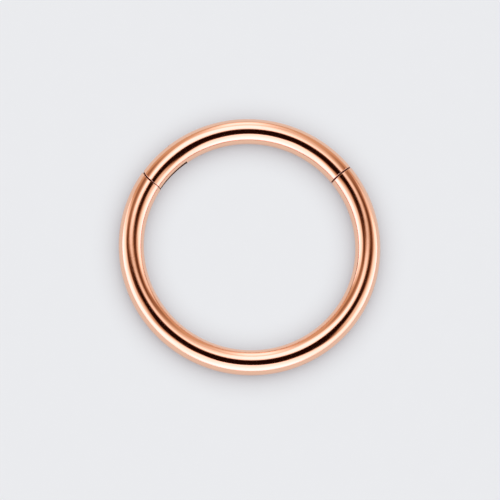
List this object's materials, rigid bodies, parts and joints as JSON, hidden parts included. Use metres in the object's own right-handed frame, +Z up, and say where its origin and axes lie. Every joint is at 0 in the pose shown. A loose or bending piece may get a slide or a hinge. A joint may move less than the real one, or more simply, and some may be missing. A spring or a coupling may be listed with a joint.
{
  "type": "segment clicker ring",
  "caption": "Round-wire body jewellery ring whose short top segment swings out on a pin hinge and snaps shut over a tongue.",
  "frame": {"origin": "middle of the ring, on the surface that the ring lies on", "axes": "+X across the ring from the hinge side to the catch side, along the wire at the foot; +Y from the foot to the hinged segment; +Z up through the opening"},
  "size_m": [0.0124, 0.0124, 0.0012],
  "materials": {
    "polished_rose_gold": "mirror-polished rose-gold plating over surgical steel, with hairline polishing scratches"
  },
  "bodies": {
    "hoop": {"hoop": "polished_rose_gold"},
    "segment": {"segment": "polished_rose_gold", "hinge_pin": "polished_rose_gold"}
  },
  "joints": [
    {"name": "segment_hinge", "type": "hinge", "parent": "hoop", "child": "segment", "pos_m": [-0.00414, 0.00377, 0.0006], "axis": [0, 0, 1], "range_deg": [0, 105]}
  ]
}
